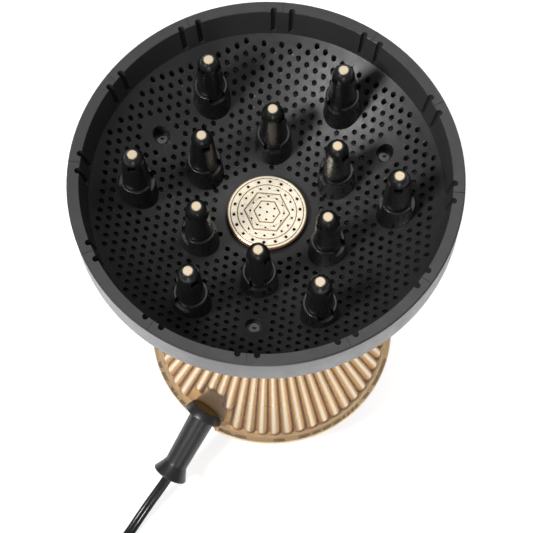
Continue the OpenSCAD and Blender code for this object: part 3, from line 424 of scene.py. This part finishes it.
def gold_plastic():
    """Metallised gold plastic of the plain pieces."""
    material, tree, shader, place = new_material("gold_plastic")
    set_sockets(shader, {"Metallic": 0.6})
    tone = noise(tree, place, 35.0, 2.0, 0.5)
    colour = clouded(tree, tone, (0.86, 0.58, 0.28), (0.92, 0.67, 0.36))
    tree.links.new(colour, shader.inputs["Base Color"])
    fine = noise(tree, place, 1800.0, 2.0)
    tree.links.new(spread(tree, fine, 0.34, 0.44), shader.inputs["Roughness"])
    add_bump(tree, shader, fine, FINE_GRAIN)
    return material


def make_materials():
    """One material for each of the record's slots, put on every CAD node."""
    made = {
        "rim_plastic": moulded("rim_plastic", grey(0.026), grey(0.032), 0.36),
        "plate_plastic": moulded("plate_plastic", grey(0.014), grey(0.020), 0.42),
        "gold_metal": medallion_gold_painted_shade(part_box("medallion")[1].z),
        "dark_plastic": moulded("dark_plastic", grey(0.012), grey(0.018), 0.45),
        "gloss_black": moulded("gloss_black", grey(0.005), grey(0.008), 0.28, 0.05, depth=FINE_GRAIN),
        "black_steel": metal("black_steel", grey(0.03), grey(0.06), 0.16, (1, 1, 0.1)),
        "shell_plastic": moulded("shell_plastic", grey(0.12), grey(0.15), 0.38),
        "steel": metal("steel", grey(0.55), grey(0.66), 0.28, (0.05, 1, 1)),
        "gold_plastic": gold_plastic(),
        "white_plastic": moulded("white_plastic", (0.72, 0.72, 0.68), (0.8, 0.8, 0.76), 0.5),
        "clear_plastic": clear_plastic(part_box("clear_bell")[0].z + CLEAR_EDGE),
        "filter_mesh": moulded("filter_mesh", grey(0.2), grey(0.34), 0.8, grain=900, depth=0.0002),
        "rubber": moulded("rubber", grey(0.012), grey(0.02), 0.65, depth=0.00004),
        "grey_plastic": moulded("grey_plastic", grey(0.15), grey(0.2), 0.5),
        "magnet": moulded("magnet", grey(0.12), grey(0.2), 0.6),
        "copper": metal("copper", (0.62, 0.28, 0.13), (0.78, 0.40, 0.2), 0.3, (1, 1, 0.05)),
        "bronze": metal("bronze", (0.55, 0.38, 0.18), (0.66, 0.48, 0.25), 0.4),
        "board": moulded("board", (0.02, 0.12, 0.05), (0.03, 0.17, 0.07), 0.4),
        "mica": moulded("mica", (0.62, 0.55, 0.40), (0.75, 0.68, 0.52), 0.45, cloud=120),
        "heating_wire": metal("heating_wire", grey(0.36), grey(0.5), 0.35),
        "aluminium": metal("aluminium", grey(0.7), grey(0.8), 0.3),
        "ceramic": moulded("ceramic", (0.78, 0.76, 0.7), (0.86, 0.84, 0.8), 0.35),
        "guard_rubber": moulded("guard_rubber", grey(0.014), grey(0.022), 0.36, 0.05, depth=0.00002),
        "cord_rubber": moulded("cord_rubber", grey(0.006), grey(0.010), 0.24, 0.05, depth=0.00001),
        "plug_plastic": moulded("plug_plastic", grey(0.010), grey(0.016), 0.4),
        "pin_metal": metal("pin_metal", grey(0.72), grey(0.82), 0.2, (0.05, 1, 1)),
    }
    for row in frame["record"]["subparts"]:
        slots = nodes[row["node"]].data.materials
        slots.clear()
        slots.append(made[row["material_slot"]])
    return made


# Width of the rounding on a CAD node's sharp edges
EDGE_WIDTHS = {
    "rim_ring": 0.0007, "diffuser_plate": 0.00022, "bowl_shell": 0.0004, "cord_guard": 0.0004,
    "cord_collar": 0.0004, "medallion": 0.00015, "inner_finger_bases": 0.0003,
    "outer_finger_bases": 0.0003,
}
EDGE_SEGMENTS = 2
EDGE_ANGLE = math.radians(32)
WELD_REACH = 0.000002


def soften_edges():
    """Rounds the CAD nodes' sharp edges with modifiers. Their own meshes stay as they are."""
    for node, width in EDGE_WIDTHS.items():
        piece = nodes[node]
        weld = piece.modifiers.new("weld", "WELD")
        weld.merge_threshold = WELD_REACH
        bevel = piece.modifiers.new("edges", "BEVEL")
        bevel.width = width
        bevel.segments = EDGE_SEGMENTS
        bevel.limit_method = "ANGLE"
        bevel.angle_limit = EDGE_ANGLE
        bevel.harden_normals = True
        bevel.use_clamp_overlap = True
        piece.modifiers.new("even", "WEIGHTED_NORMAL").keep_sharp = True


# ---------------------------------------------------------------- fluted liner

FLUTES = 54
FLUTE_POINTS = 14
COLUMNS = FLUTES * FLUTE_POINTS
BULGE = 0.0026       # how far a flute stands out of the band under it
LINER_WALL = 0.0042
BAND_HEIGHT = 0.0006
NOSE = 0.0026        # length of a flute's rounded lower end
SECOND_NOSE = 0.0016  # how far a second, lower step reaches below it
SECOND_RISE = 0.5
COLLAR_CLEAR = 0.0128  # distance from the collar's middle at which the flutes end
BAND_PAINTED_SHADE_LEVEL = 0.78     # the plain band takes the painted shade of a point this far up a flute's flank
# Heights above the liner's foot where its rings of points get wider apart, and rings in each part
FINE_TO = 0.014
MIDDLE_TO = 0.026
RINGS = (29, 14, 6)


def flute_rise(u, z, end):
    """Height of a rounded tube over its band, 0 to 1. u runs across it from -1 to 1."""
    fall = max(0.0, (end + NOSE - z) / NOSE)
    return math.sqrt(max(0.0, 1 - u * u - fall * fall))


def make_liner():
    """Tube-like flutes whose lower ends are rounded, on a plain band, and cut round the collar."""
    low, high = (corner.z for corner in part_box("gold_liner"))
    low_r, high_r = radius_near("gold_liner", low), radius_near("gold_liner", high)
    collar_z = (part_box("cord_collar")[0].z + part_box("cord_collar")[1].z) / 2

    def peak(z):
        """The radius of the flutes' crests at a height."""
        return low_r + (high_r - low_r) * (z - low) / (high - low)

    def flute_end(index):
        """The height of a flute's lower end: at the band, or above the collar."""
        angle = 2 * math.pi * (index + 0.5) / FLUTES
        off = math.remainder(angle - CORD_ANGLE, 2 * math.pi) * peak(collar_z)
        band_top = low + BAND_HEIGHT
        if abs(off) >= COLLAR_CLEAR:
            return band_top
        return max(band_top, collar_z + math.sqrt(COLLAR_CLEAR**2 - off**2) - NOSE * 0.4)

    fine, middle, wide = RINGS
    rows = sorted({*np.linspace(low, low + FINE_TO, fine),
                   *np.linspace(low + FINE_TO, low + MIDDLE_TO, middle),
                   *np.linspace(low + MIDDLE_TO, high, wide)})
    angles = [2 * math.pi * k / COLUMNS for k in range(COLUMNS)]
    points, painted_light_levels = [], []
    for z in rows:
        shrink = peak(z) / peak(low)
        for k, angle in enumerate(angles):
            index, step = divmod(k, FLUTE_POINTS)
            u = 2 * step / FLUTE_POINTS - 1
            end = flute_end(index)
            rise = max(flute_rise(u, z, end), SECOND_RISE * flute_rise(u, z, end - SECOND_NOSE))
            points.append(around_axis(peak(z) - BULGE * shrink * (1 - rise), angle, z))
            # Painted light mask: low in the valleys gives painted shade, high on the crests a painted
            # highlight
            painted_light_levels.append(max(rise, BAND_PAINTED_SHADE_LEVEL * ease((end + NOSE * 0.6 - z) / NOSE)))
    for z in (high, low):
        points += [around_axis(peak(z) - LINER_WALL, angle, z) for angle in angles]

    faces = grid_faces(len(rows), COLUMNS)
    top = (len(rows) - 1) * COLUMNS
    inner_top = top + COLUMNS
    inner_low = inner_top + COLUMNS
    for k in range(COLUMNS):
        m = (k + 1) % COLUMNS
        faces.append((top + k, top + m, inner_top + m, inner_top + k))
        faces.append((inner_top + k, inner_top + m, inner_low + m, inner_low + k))
        faces.append((inner_low + k, inner_low + m, m, k))
    liner = add_mesh("fluted_liner", points, faces)
    # The flute attribute carries the painted shade and painted highlight mask to the material
    values = liner.data.attributes.new("flute", "FLOAT", "POINT").data
    values.foreach_set("value", painted_light_levels + [0.0] * (len(points) - len(painted_light_levels)))
    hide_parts("gold_liner")
    return liner


# ---------------------------------------------------------------- floor and light

FLOOR_HALF = 6.0
FLOOR_GLOW = 0.8
SURROUND_LIGHT = 0.22
# Lights: place, size and power in watts. Overhead and key aim at the bowl, front at the waist.
OVERHEAD = ((0.25, 0.5, 1.9), (1.4, 1.0), 8)
KEY = ((-0.8, -0.64, 1.47), (0.4, 0.4), 26)
FRONT = ((0.15, -1.7, 0.55), (0.6, 0.9), 4.4)
WAIST_HEIGHT = 0.15


def make_floor():
    """A pale floor that stays near white in the picture, with only a faint soft shadow."""
    half = FLOOR_HALF
    corners = [(-half, -half, 0), (half, -half, 0), (half, half, 0), (-half, half, 0)]
    mesh = bpy.data.meshes.new("floor")
    mesh.from_pydata(corners, [], [(0, 1, 2, 3)])
    floor = bpy.data.objects.new("floor", mesh)
    bpy.context.scene.collection.objects.link(floor)
    material, _, shader, _ = new_material("pale_floor")
    set_sockets(shader, {"Base Color": (0.55, 0.55, 0.55, 1), "Roughness": 0.8,
                         "Specular IOR Level": 0.1, "Emission Color": (1, 1, 1, 1),
                         "Emission Strength": FLOOR_GLOW})
    mesh.materials.append(material)


def area_light(name, place, size, power, aim):
    """A soft rectangular light at a place, turned towards its aim."""
    light = bpy.data.objects.new(name, bpy.data.lights.new(name, "AREA"))
    light.data.shape = "RECTANGLE"
    light.data.size, light.data.size_y = size
    light.data.energy = power
    light.location = place
    light.rotation_euler = (Vector(aim) - Vector(place)).to_track_quat("-Z", "Y").to_euler()
    bpy.context.scene.collection.objects.link(light)


def make_light():
    """An even white surround, a wide light from above, a key from the left and a low front light."""
    scene = bpy.context.scene
    scene.view_settings.view_transform = "Standard"
    scene.world = bpy.data.worlds.new("studio")
    scene.world.use_nodes = True
    back = scene.world.node_tree.nodes["Background"]
    back.inputs["Color"].default_value = (1, 1, 1, 1)
    back.inputs["Strength"].default_value = SURROUND_LIGHT
    bowl = (0, 0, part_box("rim_ring")[0].z)
    area_light("overhead", *OVERHEAD, aim=bowl)
    area_light("key", *KEY, aim=bowl)
    area_light("front", *FRONT, aim=(0, 0, WAIST_HEIGHT))


make_camera()
cord = make_cord()
materials = make_materials()
cord.data.materials.append(materials["cord_rubber"])
make_liner().data.materials.append(fluted_gold_painted_light())
nodes["finger_tips"].data.materials[0] = tip_gold()
soften_edges()
make_floor()
make_light()
